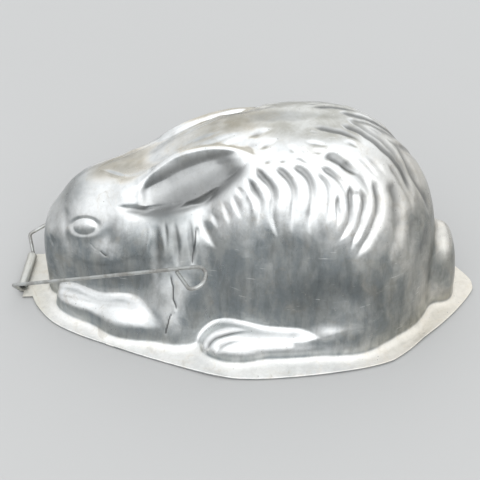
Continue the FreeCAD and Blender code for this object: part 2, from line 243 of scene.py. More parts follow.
# depth in mm (a minus sign raises), half width in chart units, then the curve
FUR = [
    # long grooves round the haunch
    (1.25, 3.3, [(320, 158.5), (330, 157), (338, 160.5), (346, 166), (353, 170.5), (360, 175), (365, 180.5), (368.5, 188), (370, 196), (370, 203)]),
    (0.8, 3.8, [(338, 162), (346, 167), (353, 171), (360, 174.5)]),
    (1.1, 2.5, [(372, 176), (375, 184), (376.6, 192), (378, 200), (378, 208), (377, 215), (374, 223), (371, 231), (367, 239), (362, 247), (357.5, 255), (355, 262)]),
    (0.45, 1.3, [(354, 155.5), (362, 160.5), (366, 163.5), (371, 169), (374, 173), (378, 177), (379.5, 181)]),
    (0.65, 1.6, [(364, 154), (371, 159.6), (375.4, 163.5), (380, 168), (384, 173.5), (387, 179)]),
    (0.95, 3.6, [(387, 178), (391, 186), (394, 194), (395.5, 202), (396, 212), (397, 222), (396.5, 232), (394.5, 240), (392.5, 248), (391, 256), (388, 266)]),
    (0.8, 1.9, [(386, 161), (391.5, 167.3), (395.4, 172.7), (399.2, 178), (401.5, 182.7), (405, 188), (409, 196), (411.5, 206), (412, 216)]),
    (0.75, 1.8, [(337, 122), (345, 126), (353, 129), (360, 132), (366, 136), (372, 139.6), (377, 143.5), (381.5, 148), (386, 152), (391, 156.5), (395.4, 162), (399.2, 166.5), (403, 172.7), (405.4, 178), (408, 184), (411, 191), (415, 201)]),
    (0.75, 1.7, [(309, 126), (317, 127.5), (325, 129), (333, 131), (341, 132.5), (348, 135), (353, 137), (358, 140), (362, 143.5), (366, 148)]),
    (0.5, 1.5, [(343, 117.8), (349, 119.8), (353.8, 122.3), (360, 125.5), (369, 131.5), (377, 136.5), (383, 141), (387.7, 145.8), (391.5, 149.6), (394.6, 153.5), (397, 158), (400.8, 162.7), (403.8, 168), (406, 172.7), (408.5, 179), (412, 186), (416, 193.5)]),
    (0.55, 1.5, [(396, 146), (399.5, 151), (402.3, 155), (405.4, 160), (407.8, 166), (410, 171), (412.3, 176.5), (416.2, 183.5), (420.8, 191), (425, 199), (427.6, 207), (429.4, 214), (430.5, 222)]),
    (0.5, 1.3, [(334, 107), (348, 110.5), (361, 116.5), (374, 125), (385, 134), (394, 143), (401, 152), (407, 161), (413, 172), (418, 183), (423, 195)]),
    (0.35, 1.4, [(361, 123.5), (370, 127), (375.4, 130.5), (381.5, 135), (387, 140), (391.5, 144)]),
    (0.7, 2.6, [(411.5, 212), (411.5, 225), (410.5, 240), (408.5, 254), (406, 266)]),
    (0.7, 3.0, [(427, 218), (426, 230), (423, 244), (419, 257), (416, 268), (412, 282), (407, 298), (401, 313)]),
    (-0.35, 2.6, [(401, 196), (404.5, 206), (405.8, 216), (405.8, 228), (404.5, 242), (402.5, 256), (400.5, 270)]),
    # short curls at the front of the haunch
    (0.85, 2.3, [(243, 176.5), (248.5, 182.3), (251.5, 188.5), (254.6, 193.8), (257.5, 199.5), (258.6, 206), (258.6, 214), (258.3, 222), (257.3, 232)]),
    (0.95, 2.5, [(252, 163.5), (257, 171.5), (262, 178), (267.5, 183.5), (271.5, 190), (273, 198), (272, 206), (271.7, 214), (273, 221.5), (274.6, 227.7), (277.7, 237), (279.5, 243)]),
    (0.95, 2.6, [(270, 165.5), (277.5, 169.5), (284, 175), (289.5, 181.5), (293, 189), (294, 197), (293, 206), (292, 216), (291.5, 226), (293, 238)]),
    (0.95, 2.9, [(287, 165.5), (296, 168), (303, 172.5), (308.5, 179), (311.5, 187), (312.5, 196), (311.5, 206), (309.5, 217), (309, 228), (311, 240)]),
    (0.7, 2.2, [(311, 170), (319.5, 175.5), (325.5, 181.5), (329, 188.5), (330.2, 197), (329.5, 208), (327.5, 219), (325.5, 229)]),
    (0.95, 2.6, [(317, 163), (325, 169.5), (332, 174.5), (338.5, 180), (343.8, 186.5), (346.8, 194), (347.2, 203), (346, 212)]),
    (0.8, 1.3, [(338.5, 190), (337.5, 198), (337, 207), (338, 214), (337.8, 221), (336.5, 227), (334.5, 233)]),
    (1.0, 1.9, [(350, 181), (350, 190), (350, 200), (350.2, 210), (349.2, 221), (346.5, 227.5), (343, 234), (339, 240), (336, 246)]),
    (1.1, 2.0, [(361, 186), (362.3, 193), (364.2, 200.5), (364.2, 207.3), (362, 216), (360.4, 224), (357.3, 232), (354, 239), (351.5, 247), (349, 255)]),
    (0.5, 2.4, [(355, 190), (357, 197), (356, 203)]),
    # pockets at the upper and lower ends of the curls
    (0.65, 2.0, [(263, 166.5), (267, 161.5), (273, 160.5), (278, 163)]),
    (0.65, 1.9, [(276, 163.5), (282, 160.5), (289, 160), (293, 162.5)]),
    (0.75, 2.1, [(292, 162), (297.5, 158), (303.5, 159.5), (309.5, 163.5), (314, 168.5)]),
    (0.35, 3.0, [(273, 240), (272, 251), (269, 263), (266, 275)]),
    (0.35, 3.0, [(285, 226), (285.5, 241), (285, 256), (283, 272)]),
    (0.35, 3.0, [(303, 232), (305.5, 245), (306.5, 262), (306, 276)]),
    (0.35, 3.0, [(322, 222), (324, 238), (324.5, 254), (323, 270)]),
    # back, in front of the haunch
    (0.6, 2.8, [(238, 123), (250, 121), (262, 119), (272, 119.5), (282, 118.3), (290, 119), (300, 118.8), (310, 118.3), (319, 118)]),
    (0.7, 1.8, [(247, 141), (250.7, 136.4), (258.6, 134), (263.6, 132), (270, 130.5), (278, 128)]),
    (0.6, 1.8, [(257, 150), (261.4, 147.9), (267, 145), (273.6, 142), (280, 138.5)]),
    (0.45, 1.3, [(303, 140), (309.3, 143), (315.7, 144.3), (321, 145), (332, 146)]),
    (0.3, 1.2, [(305, 131.7), (316.4, 133), (324, 135)]),
    (0.5, 1.1, [(343, 143), (350, 143.5), (355, 146), (360, 148.5)]),
    (0.4, 1.5, [(287, 145), (292, 150), (298, 154)]),
    (0.4, 1.4, [(299, 148), (304, 151), (308, 156)]),
    (0.35, 1.3, [(311, 152), (319, 152), (326, 152.5)]),
    (0.5, 3.2, [(247, 140), (251, 147), (253.5, 156)]),
    # nape
    (0.45, 1.6, [(172, 152), (186, 145), (200, 139), (214, 134), (228, 130)]),
    (0.4, 1.4, [(190, 152), (204, 146), (218, 141), (232, 136), (246, 132)]),
    (0.35, 1.3, [(206, 133), (218, 127.5), (230, 123.5)]),
    (0.35, 1.5, [(222, 147), (234, 143), (246, 141)]),
    (0.3, 1.5, [(180, 140), (190, 133), (202, 127), (214, 122)]),
    # neck
    (0.7, 4.2, [(156, 216), (156, 230), (156.5, 242), (157, 254), (157, 270), (157, 284)]),
    (0.9, 2.8, [(173, 214), (175, 228), (176, 238), (177, 248), (177.5, 258), (178, 274)]),
    (0.9, 2.5, [(187, 212), (189.5, 224), (190.5, 234), (191.5, 244), (192.5, 254), (193.5, 272)]),
    (0.5, 1.6, [(164, 214), (165, 226), (166, 240), (166.5, 254)]),
    (0.45, 1.4, [(197, 221), (197.5, 232), (198, 243)]),
    (0.75, 3.0, [(200.5, 212), (204, 226), (208, 235), (212.5, 243), (219, 250)]),
    (0.7, 2.5, [(211, 205), (213, 213), (216, 222), (218.5, 231)]),
    (0.55, 2.2, [(222, 199), (225.5, 209), (228, 217), (230, 226)]),
    (0.6, 2.3, [(231, 192), (234.5, 201), (238, 210), (241.5, 220)]),
    (0.4, 1.6, [(235, 186), (239.5, 192), (243.5, 199)]),
    (-0.45, 2.6, [(243, 187), (248, 194), (252.5, 202), (254, 210), (252.5, 218), (249, 227)]),
    (-0.5, 2.2, [(143, 219), (148.5, 226), (149.5, 236), (147.5, 247), (146.3, 258), (146, 270), (146, 284)]),
    # head
    (0.5, 1.7, [(97, 169.5), (106, 171.5), (114, 174), (122, 175.8), (131, 176)]),
    (0.4, 1.7, [(49, 232), (51, 239), (53.5, 245), (55, 251)]),
    (0.35, 1.6, [(50.5, 254), (52.5, 262), (56, 270)]),
    (0.6, 3.2, [(64, 203), (65, 214), (66, 228), (68, 240), (71, 252), (75, 264)]),
    # lower edge of the ear
    (0.7, 3.2, [(114, 206), (124, 208.5), (136, 210), (150, 211), (165, 210.5), (178, 208.5), (190, 205.5), (200, 201.5), (210, 195), (222, 185.5), (232, 176.5), (241, 168), (250, 161)]),
    # the hind foot runs out along the wall
    (-1.1, 4.2, [(284, 339), (298, 339.5), (311, 338.5), (324, 336.5), (336, 333.5), (347, 330)]),
    # toes
    (1.25, 1.6, [(206, 356), (206.5, 349), (209, 343), (214, 338), (221, 335), (230, 332.5), (240, 331), (252, 331)]),
    (1.1, 1.6, [(216.5, 358), (218, 350), (223.5, 345), (230, 342), (238, 340.5), (246, 340)]),
]
# broad hollows (+) and swellings (-): depth, centre and half sizes in chart units, turn in degrees
BLOBS = [
    (0.7, 108, 233, 6.0, 11.0, 10),
    (0.5, 55, 226, 5.0, 13.0, 8),
    (-0.5, 60, 251, 5.0, 4.0, -20),
    (-0.5, 139, 219, 12.0, 5.0, 12),
    (0.2, 90, 196, 9.0, 2.6, 8),
    (0.4, 118, 246, 9.0, 9.0, 0),
    (-0.4, 160, 290, 8.0, 9.0, 0),
    (0.5, 176, 300, 4.0, 16.0, 5),
    (-0.5, 166, 325, 9.0, 9.0, 20),
    (0.35, 345, 262, 16.0, 12.0, 0),
    (-0.25, 366, 300, 7.0, 22.0, 2),
    (0.4, 382, 300, 4.0, 24.0, 0),
    (0.5, 300, 262, 22.0, 9.0, -10),
    (-0.4, 246, 262, 6.0, 14.0, 4),
    (0.4, 232, 282, 7.0, 18.0, 0),
    (-0.35, 240, 315, 14.0, 8.0, 0),
]
# patches of wear and painted light: how much (+ brighter: wiped metal and painted highlights, - darker: tarnish and
# painted shade), centre, half sizes, turn
WEAR_AND_PAINTED_LIGHT = [
    (-0.90, 170, 243, 26.0, 24.0, 0),
    (-0.65, 205, 136, 36.0, 12.0, -25),
    (-0.75, 305, 108, 60.0, 8.0, 2),
    (-0.70, 190, 309, 14.0, 14.0, 0),
    (-0.45, 150, 326, 13.0, 9.0, 0),
    (-0.45, 74, 188, 10.0, 10.0, 0),
    (-0.40, 415, 200, 8.0, 18.0, -10),
    (-0.90, 340, 298, 32.0, 22.0, 0),
    (-0.60, 172, 216, 26.0, 6.0, 0),
    (-0.80, 113, 276, 28.0, 9.0, 4),
    (0.50, 335, 136, 34.0, 11.0, 12),
    (0.60, 330, 334, 17.0, 4.5, -12),
    (-0.35, 84, 236, 14.0, 4.0, 4),
    (0.45, 437, 294, 9.0, 12.0, 0),
    (0.50, 300, 352, 60.0, 6.0, 0),
    (0.50, 112, 292, 30.0, 9.0, 14),
    (-0.50, 112, 170, 22.0, 6.0, -8),
    (-0.35, 66, 196, 10.0, 20.0, 25),
    (-0.45, 53, 236, 8.0, 20.0, 4),
    (0.50, 137, 223, 10.0, 6.0, 0),
    (-0.50, 295, 288, 46.0, 24.0, 0),
    (-0.25, 225, 288, 12.0, 26.0, 0),
    (-0.30, 285, 246, 26.0, 8.0, 0),
    (0.70, 358, 214, 22.0, 34.0, 8),
    (0.55, 226, 212, 22.0, 13.0, -35),
    (0.30, 310, 200, 26.0, 16.0, 0),
    (0.45, 176, 320, 16.0, 12.0, 20),
    (0.30, 178, 290, 6.0, 16.0, 0),
    (0.35, 410, 262, 8.0, 30.0, 0),
    (0.60, 213, 342, 14.0, 12.0, 0),
]
# splits and scratches in the worn metal: depth, half width, curve
CRACKS = [
    (0.5, 0.75, [(196, 226), (195.5, 240), (194, 248), (192.7, 257), (192.3, 267)]),
    (0.55, 0.75, [(170.5, 273), (171.5, 281), (173, 287), (173.2, 293), (173.4, 300), (175.6, 306), (176.6, 313)]),
    (0.45, 0.75, [(172.3, 312), (169.5, 318), (168, 324), (166.3, 330), (165.3, 336)]),
    (0.3, 0.75, [(99.5, 250.5), (103, 254), (107, 257)]),
    (0.25, 0.5, [(121, 257.5), (124, 259)]),
    (0.15, 0.5, [(90, 243), (94, 248), (97, 250)]),
]
# painted shadow along the deep crease below the ear
EAR_CREASE = [(116, 209), (130, 211), (145, 211), (160, 209.5), (175, 208), (190, 204.5), (203, 199), (215, 191.5),
              (225, 184), (234, 175), (241, 167.5), (248, 161)]
UNDER_EAR = [(128, 205), (145, 207), (170, 205), (188, 200), (203, 193), (218, 181.5), (229, 172),
             (240, 163), (250, 156), (240, 150), (220, 147), (200, 149), (180, 155), (160, 163.5),
             (143, 173), (130, 184)]


def inside(uv, poly):
    """Which points are inside a closed outline."""
    n = np.zeros(len(uv), bool)
    p = np.array(poly)
    for a, b in zip(p, np.roll(p, -1, 0)):
        c = ((a[1] > uv[:, 1]) != (b[1] > uv[:, 1]))
        x = a[0] + (uv[:, 1] - a[1]) / (b[1] - a[1] + 1e-12) * (b[0] - a[0])
        n ^= c & (uv[:, 0] < x)
    return n


def ear_hollow(p):
    """Depth of the hollow of the ear: steep under the upper rim, rising gently to the lower one; also the painted
    shade of the hollow and the painted shadow under its lower edge.
    """
    u, w, n = ear_frame(p[:, 0], np.abs(p[:, 1]), p[:, 2])
    wide = 11.55 * np.clip(1 - (np.abs(u) / 31.9) ** 1.65, 0.02, 1) ** (1 / 1.65)
    low = 11.55 * np.clip(1 - (np.abs(u) / 38.0) ** 2.6, 0.02, 1) ** (1 / 2.6)
    a = w / np.where((w > 0) & (u < 0), np.maximum(wide, low), wide)
    leaf = lump(u, w, n, 31.9, 11.55, 4.7, 1.65)
    on = smooth(1.0, 0.90, np.abs(a)) * smooth(-1.5, 0.3, n) * smooth(1.8, 0.5, leaf) * (np.abs(u) < 33)
    want = 2.45 - 3.15 * smooth(-0.82, -0.36, a) + 1.3 * np.clip((a - 0.1) / 0.9, 0.0, 1.0) ** 1.5
    length = smooth(-32, -9, u) * smooth(31, 15, u)
    rim = np.exp(-0.5 * ((a + 0.90) / 0.07) ** 2) * smooth(-28, -12, u) * smooth(31, 22, u)
    d = np.clip(n - want, -0.3, 7.5) * on * length
    inner = smooth(-1.0, -0.90, a) * smooth(1.35, 1.10, w / wide) * smooth(-2.5, -0.2, n) * smooth(4.5, 1.0, leaf)
    inner *= smooth(-35, -19, u) * smooth(31, 22, u)
    # painted shade in the hollow of the ear, darkest under the upper rim and in its lower part
    shade = 0.80 * inner * smooth(-0.90, -0.35, a)
    shade += 0.35 * np.exp(-0.5 * ((a + 0.60) / 0.18) ** 2) * inner
    shade += 0.30 * smooth(0.15, 0.85, a) * inner
    # painted shadow on the band under the ear's lower edge
    below = np.exp(-0.5 * (np.maximum(leaf - 0.6, 0.0) / 2.5) ** 2) * smooth(0.86, 1.02, w / wide)
    shade = np.maximum(shade, 1.25 * below * smooth(-40, -31, u) * smooth(34, 24, u) * smooth(-13, -7, n))
    return d - 0.35 * rim * smooth(-1.5, 0.3, n), shade


def relief(p, n):
    """How far the sheet is pressed in from the smooth form, in mm, for points and their normals."""
    uv = chart(p)
    view = EYE - p
    view /= np.linalg.norm(view, axis=1, keepdims=True)
    facing = smooth(0.02, 0.2, (view * n).sum(1))
    hollow, shade = ear_hollow(p)
    u, w, q = ear_frame(p[:, 0], np.abs(p[:, 1]), p[:, 2])
    leaf = lump(u, w, q, 31.9, 11.55, 4.7, 1.65)
    hidden = inside(uv, UNDER_EAR) & (leaf > 0.5) & (uv[:, 0] > 138)
    # painted shadow along the crease under the ear
    d, t, _ = along(uv, EAR_CREASE)
    crease = 1.3 * np.exp(-0.5 * (d / 2.9) ** 2) * smooth(0, 0.16, t) * smooth(0, 0.1, 1 - t)
    shade = np.maximum(shade, crease * smooth(0.1, 0.5, leaf) * facing)
    facing = np.where(hidden, 0.0, facing) * smooth(-0.1, 0.7, np.maximum(leaf, 0.8 * smooth(-14, -28, u)))
    out = np.zeros(len(p))
    groove_dirt_and_shade = np.zeros(len(p))
    split = np.zeros(len(p))
    for depth, half, line in FUR:
        pts = np.array(line)
        lo, hi = pts.min(0) - 5 * half, pts.max(0) + 5 * half
        m = np.where(((uv > lo) & (uv < hi)).all(1) & (facing > 0))[0]
        if not m.size:
            continue
        d, t, side = along(uv[m], line)
        length = np.linalg.norm(np.diff(pts, axis=0), axis=1).sum()
        fade = smooth(0, min(0.45, 14.0 / length), t) * smooth(0, min(0.5, 26.0 / length), 1 - t)
        if depth > 0 and pts[:, 0].min() > 238:
            depth = 1.15 * depth
            fade = fade * (1 - 0.4 * smooth(0.35, 0.8, t) * (pts[:, 0].max() < 350))
        elif pts[:, 0].min() > 142 and pts[:, 1].max() > 225 and pts[:, 0].max() < 222:
            fade = fade * smooth(0, 0.5, t)
        w = half * (0.35 + 0.65 * fade) * np.where((side < 0) & (pts[:, 0].min() > 200), 1.55, 0.85)
        out[m] += depth * fade * np.exp(-0.5 * (d / w) ** 2)
        # darkening along the grooves: partly dirt, partly painted shade, strongest at the upper, shaded ends of the
        # haunch curls
        if depth > 0:
            if pts[:, 0].min() > 300 and pts[:, 1].min() < 150:
                dirt_and_shade = 1.4
            elif pts[:, 0].min() > 238:
                dirt_and_shade = (1.5 if pts[:, 0].min() < 345 else 0.9) * (1 - 0.7 * smooth(0.1, 0.7, t))
            else:
                dirt_and_shade = 0.8
            groove_dirt_and_shade[m] = np.maximum(groove_dirt_and_shade[m], dirt_and_shade * depth * fade * np.exp(-0.5 * (d / (0.92 * w)) ** 2))
    for depth, cu, cv, ru, rv, turn in BLOBS:
        c, s = math.cos(math.radians(turn)), math.sin(math.radians(turn))
        du, dv = uv[:, 0] - cu, uv[:, 1] - cv
        r = ((du * c + dv * s) / ru) ** 2 + ((-du * s + dv * c) / rv) ** 2
        out += depth * np.exp(-0.5 * r)
    # patches of wear and painted light: wiped or tarnished metal, painted highlights and painted shade
    wear_and_painted_light = np.zeros(len(p))
    for amount, cu, cv, ru, rv, turn in WEAR_AND_PAINTED_LIGHT:
        c, s = math.cos(math.radians(turn)), math.sin(math.radians(turn))
        du, dv = uv[:, 0] - cu, uv[:, 1] - cv
        r = ((du * c + dv * s) / ru) ** 2 + ((-du * s + dv * c) / rv) ** 2
        wear_and_painted_light += amount * np.exp(-0.5 * r)
    wear_and_painted_light *= facing * smooth(2.0, 6.0, p[:, 2])
    # eye: a domed ball under a sharp upper lid, with a rolled lower lid
    du, dv = uv[:, 0] - 84.5, uv[:, 1] - 226.5
    ball = np.sqrt((du / 11.3) ** 2 + (dv / 7.2) ** 2)
    up = smooth(5, -4, dv)
    e = -0.5 * np.clip(1 - ball * ball, 0, 1) ** 0.8
    e += 0.55 * np.exp(-0.5 * ((ball - 1.10) / 0.20) ** 2) * (0.30 + 0.70 * up)
    e += -0.18 * np.exp(-0.5 * ((ball - 1.55) / 0.30) ** 2) * smooth(-6, 5, dv)
    out += np.where(ball < 3, e, 0)
    out *= facing
    for depth, half, line in CRACKS:
        pts = np.array(line)
        m = np.where(((uv > pts.min(0) - 3) & (uv < pts.max(0) + 3)).all(1) & (facing > 0.5))[0]
        if m.size:
            d, t, _ = along(uv[m], line)
            v = depth * smooth(0, 0.15, t) * smooth(0, 0.15, 1 - t) * np.exp(-0.5 * (d / half) ** 2)
            out[m] += 0.45 * v
            split[m] = np.maximum(split[m], v / max(depth, 0.4))
    out += hollow
    groove_dirt_and_shade = np.maximum(groove_dirt_and_shade * facing, shade)
    keep = smooth(1.6, 4.5, p[:, 2])
    return out * keep, groove_dirt_and_shade * keep, split * keep, wear_and_painted_light


def lumps(p, seed, size):
    """Slow, even waviness, as a few crossing waves with fixed directions and phases."""
    rng = np.random.RandomState(seed)
    out = np.zeros(len(p))
    for _ in range(7):
        d = rng.normal(size=3)
        d /= np.linalg.norm(d)
        k = 2 * math.pi / (size * rng.uniform(0.7, 1.5))
        out += np.sin(p @ d * k + rng.uniform(0, 6.28))
    return out / 7 ** 0.5


# ------------------------------------------------------------------ the sheet as one closed mesh
STEP = 0.6


def columns():
    nose_marks = [math.atan2(NOSE - x, -y) for x, y in RIM[2:4]]
    tail_marks = []
    n = int(62 / STEP)
    a = snapped(np.linspace(0.5 * math.pi, 0, n + 1), nose_marks)[:-1]
    xs = snapped(np.linspace(NOSE, TAIL, int((TAIL - NOSE) / STEP) + 1),
                 [])
    n = int(54 / STEP)
    b = snapped(np.linspace(0, 0.5 * math.pi, n + 1), tail_marks)[1:]
    mx = np.concatenate([np.full(a.size, NOSE), xs, np.full(b.size, TAIL)])
    dx = np.concatenate([-np.sin(a), np.zeros(xs.size), np.sin(b)])
    dy = np.concatenate([-np.cos(a), -np.ones(xs.size), -np.cos(b)])
    return mx, dx, dy, a.size, xs.size


def curved(line):
    """The outline with its cut corners kept at the tab and smooth from there to the tail."""
    return line[:3] + [tuple(q) for q in spline(line[3:], 1.0)]


def sheet_grid():
    mx, dx, dy, n_nose, n_mid = columns()
    out = reach(mx, dx, dy, curved(RIM))
    far = reach(mx, dx, dy, curved(RIM_FAR))
    fine = 0.4
    m = int(out.max() / fine) + 1
    t = np.linspace(0, 1, m)
    r = out[:, None] * t[None, :]
    X, Y = mx[:, None] + r * dx[:, None], r * dy[:, None]
    Z = heights(X.ravel(), Y.ravel()).reshape(X.shape)
    # closer together where the skin drops steeply, as under the edge of the ear
    jc, jr = np.where(np.abs(np.diff(Z, axis=1)) > 1.2)
    rr = r[jc, jr][:, None] + (r[jc, jr + 1] - r[jc, jr])[:, None] * (np.arange(1, 8) / 8.0)
    zz = heights((mx[jc, None] + rr * dx[jc, None]).ravel(), (rr * dy[jc, None]).ravel()).reshape(rr.shape)
    rows = int(130 / STEP)
    P = np.zeros((len(mx), rows, 3))
    R = np.zeros((len(mx), rows))
    for c in range(len(mx)):
        rc = np.concatenate([r[c], rr[jc == c].ravel()])
        order = np.argsort(rc, kind="stable")
        rc, zc = rc[order], np.concatenate([Z[c], zz[jc == c].ravel()])[order]
        s = np.concatenate([[0], np.cumsum(np.hypot(np.diff(rc), np.diff(zc)))])
        want = np.linspace(0, s[-1], rows)
        R[c] = np.interp(want, s, rc)
        P[c, :, 2] = np.interp(want, s, zc)
        P[c, :, 0] = mx[c] + R[c] * dx[c]
        P[c, :, 1] = R[c] * dy[c]
    return P, R, (mx, dx, dy, out, far, n_nose, n_mid)


def build_sheet():
    P, R, (mx, dx, dy, out, far, n_nose, n_mid) = sheet_grid()
    nc, nr = P.shape[:2]
    last_mid = n_nose + n_mid - 1
    near = np.arange(nc * nr).reshape(nc, nr)
    near[:n_nose, 0] = near[n_nose, 0]
    near[last_mid + 1:, 0] = near[last_mid, 0]
    mirror_id = near + nc * nr
    mirror_id[0], mirror_id[-1] = near[0], near[-1]
    mirror_id[:, 0] = near[:, 0]
    A = P.reshape(-1, 3)
    B = A * np.array((1, -1, 1))
    # the two front corners of the rim were cut differently
    wall = np.sqrt(np.maximum(R, 1e-6))
    flat = smooth(THK + 0.02, THK, P[:, :, 2])
    foot = np.array([R[c][np.argmax(P[c, :, 2] < THK + 0.03)] for c in range(nc)])
    k = np.clip((R - foot[:, None]) / np.maximum(out - foot, 1e-6)[:, None], 0, 1)
    Rf = R + k * (far - out)[:, None]
    B[:, 0] = (mx[:, None] + Rf * dx[:, None]).ravel()
    B[:, 1] = (-Rf * dy[:, None]).ravel()
    V = np.vstack([A, B])
    a, b = near[:-1, :-1].ravel(), near[1:, :-1].ravel()
    c, d = near[1:, 1:].ravel(), near[:-1, 1:].ravel()
    e, f = mirror_id[:-1, :-1].ravel(), mirror_id[1:, :-1].ravel()
    g, h = mirror_id[1:, 1:].ravel(), mirror_id[:-1, 1:].ravel()
    Q = np.vstack([np.stack([a, d, c, b], 1), np.stack([e, f, g, h], 1)])

    def normals(V):
        n = np.cross(V[Q[:, 2]] - V[Q[:, 0]], V[Q[:, 3]] - V[Q[:, 1]])
        N = np.zeros_like(V)
        for i in range(4):
            np.add.at(N, Q[:, i], n)
        return N / (np.linalg.norm(N, axis=1, keepdims=True) + 1e-12)

    N = normals(V)
    if N[near[nc // 2, 0]][2] < 0:
        Q = Q[:, ::-1].copy()
        N = -N
    used = np.zeros(len(V), bool)
    used[Q.ravel()] = True
    depth, groove_dirt_and_shade, split, wear_and_painted_light = [np.tile(q, 2) for q in relief(A, N[:nc * nr])]
    # no undercut: the sheet must come off the punch. The relief presses the sheet in along its normals, mirrored for
    # the far half and with no sideways push on the midline.
    N2 = N.copy()
    N2[nc * nr:] = N[:nc * nr] * np.array((1, -1, 1))
    for arr in (N2,):
        bad = ~used
        arr[bad] = (0, 0, 1)
    for i in (near[0], near[-1], near[n_nose:last_mid + 1, 0]):
        N2[i, 1] = 0
    N2 /= np.linalg.norm(N2, axis=1, keepdims=True)
    V = V - N2 * depth[:, None]
    # hand work and years of use: slow dents, and a rim that is no longer quite flat
    on_wall = smooth(3, 12, V[:, 2])
    V = V + N2 * ((0.10 * lumps(V, 3, 34) + 0.05 * lumps(V, 8, 13)) * on_wall)[:, None]
    rim_r = np.tile(k.ravel(), 2)
    wave = np.clip(0.16 + 0.16 * lumps(V, 21, 46), 0, 0.6)
    for (cx, cy, w, hgt) in ((84.0, -39.0, 6.0, 0.35), (66.0, -55.0, 5.0, 0.25), (-16, -67.5, 5.0, 0.35),
                             (-60, -52, 6, 0.3), (40, 62, 6, 0.3), (-80, 43, 6, 0.3)):
        wave = wave + hgt * np.exp(-0.5 * (((V[:, 0] - cx) / w) ** 2 + ((V[:, 1] - cy) / (w * 1.4)) ** 2))
    front = smooth(-112, -106, V[:, 0])
    V[:, 2] += wave * smooth(0.35, 1.0, rim_r) * front
    N = normals(V)
    N[~used] = (0, 0, 1)
    # edge of the rim, cut with shears and dressed: a small bevel all round
    ring_near, ring_far = near[:, -1], mirror_id[:, -1]
    W = V - N * THK
    edge = np.concatenate([ring_near, ring_far[1:-1][::-1]])
    outward = np.vstack([np.stack([dx, dy], 1), np.stack([dx, -dy], 1)[1:-1][::-1]])
    Vt = V[edge].copy()
    side = np.zeros_like(Vt)
    side[:, :2] = outward
    pull = 0.22
    n0 = len(V)
    top_mid = Vt + side * 0.0 - np.array((0, 0, 0.24))
    low_mid = W[edge] + side * 0.0 + np.array((0, 0, 0.24))
    low_mid[:, :2] = Vt[:, :2]
    V[edge, :2] -= outward * pull
    W[edge] = V[edge] - np.array((0, 0, THK))
    W[edge, 2] = np.maximum(W[edge, 2], 0.0)
    all_v = np.vstack([V, W, top_mid, low_mid])
    ne = len(edge)
    i0, i1 = np.arange(ne), (np.arange(ne) + 1) % ne
    t_top, t_low = 2 * n0 + i0, 2 * n0 + ne + i0
    u_top, u_low = 2 * n0 + i1, 2 * n0 + ne + i1
    strips = [np.stack([edge[i0], edge[i1], u_top, t_top], 1),
              np.stack([t_top, u_top, u_low, t_low], 1),
              np.stack([t_low, u_low, n0 + edge[i1], n0 + edge[i0]], 1)]
    S = np.vstack(strips)
    # faces of the edge turn outwards
    p = all_v[S]
    nn = np.cross(p[:, 2] - p[:, 0], p[:, 3] - p[:, 1])
    mid = p.mean(1)
    if ((nn[:, 0] * (mid[:, 0])) + (nn[:, 1] * mid[:, 1])).sum() < 0:
        S = S[:, ::-1]
    faces = np.vstack([Q, Q[:, ::-1] + n0, S])
    groove_dirt_and_shade = np.concatenate([groove_dirt_and_shade, groove_dirt_and_shade * 0.3, np.zeros(2 * ne)])
    split = np.concatenate([split, np.zeros(len(split) + 2 * ne)])
    wear_and_painted_light = np.concatenate([wear_and_painted_light, np.zeros(len(wear_and_painted_light) + 2 * ne)])
    return all_v, faces, {"groove_dirt_and_shade": groove_dirt_and_shade, "split": split, "wear_and_painted_light": wear_and_painted_light}


def make_mesh(name, verts, faces, mats=(), attr=None):
    """Mesh object from arrays, without unused points or faces that have collapsed."""
    verts = np.asarray(verts, float)
    clean = []
    for f in faces.tolist():
        g = [v for i, v in enumerate(f) if v != f[i - 1]]
        if len(set(g)) >= 3:
            clean.append(g)
    used = np.unique(np.concatenate([np.array(g) for g in clean]))
    index = np.full(len(verts), -1)
    index[used] = np.arange(len(used))
    co = verts[used].copy()
    co[:, 0] += SHIFT
    co /= 1000.0
    me = bpy.data.meshes.new(name)
    me.from_pydata(co.tolist(), [], [[int(index[v]) for v in g] for g in clean])
    me.validate()
    me.shade_smooth()
    if attr:
        for key, val in attr.items():
            at = me.attributes.new(key, "FLOAT", "POINT")
            at.data.foreach_set("value", np.asarray(val)[used].astype(np.float32))
    ob = bpy.data.objects.new(name, me)
    bpy.context.scene.collection.objects.link(ob)
    for m in mats:
        me.materials.append(m)
    return ob


# ------------------------------------------------------------------ rolled tab
ROLL_X, ROLL_Z = -115.6, 2.4


